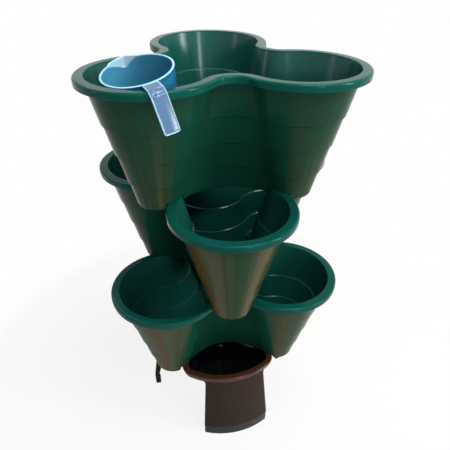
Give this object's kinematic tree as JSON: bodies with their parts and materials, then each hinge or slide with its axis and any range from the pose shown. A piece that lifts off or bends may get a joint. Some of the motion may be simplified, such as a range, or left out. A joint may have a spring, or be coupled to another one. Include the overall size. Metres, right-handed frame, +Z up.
{
  "type": "vertical planter tower",
  "caption": "Tall tower of stacked trefoil pots on a stand with curved legs, for growing plants in a small floor area, with a hooked-on watering jug.",
  "frame": {"origin": "on the floor, on the tower's upright axis", "axes": "+Z up along the tower's axis; one lobe of the top pot points towards +Y"},
  "size_m": [0.4164, 0.45, 0.7531],
  "materials": {
    "pot_green": "smooth moulded, softly glossy",
    "stand_brown": "smooth moulded, glossy",
    "shoe_black": "glossy black",
    "jug_blue": "clear blue, polished"
  },
  "bodies": {
    "stand": {"stand": "stand_brown", "left_foot_shoe": "shoe_black", "front_foot_shoe": "shoe_black", "right_foot_shoe": "shoe_black"},
    "bottom_pot": {"bottom_pot": "pot_green"},
    "middle_pot": {"middle_pot": "pot_green"},
    "top_pot": {"top_pot": "pot_green"},
    "jug": {"jug": "jug_blue"}
  },
  "joints": [
    {"name": "bottom_pot_lift", "type": "slide", "parent": "stand", "child": "bottom_pot", "axis": [0, 0, 1], "range_m": [0, 0.06]},
    {"name": "middle_pot_lift", "type": "slide", "parent": "bottom_pot", "child": "middle_pot", "axis": [0, 0, 1], "range_m": [0, 0.06]},
    {"name": "top_pot_lift", "type": "slide", "parent": "middle_pot", "child": "top_pot", "axis": [0, 0, 1], "range_m": [0, 0.06]},
    {"name": "jug_lift", "type": "slide", "parent": "top_pot", "child": "jug", "axis": [-0.1516, -0.1492, 0.9771], "range_m": [0, 0.13]}
  ]
}
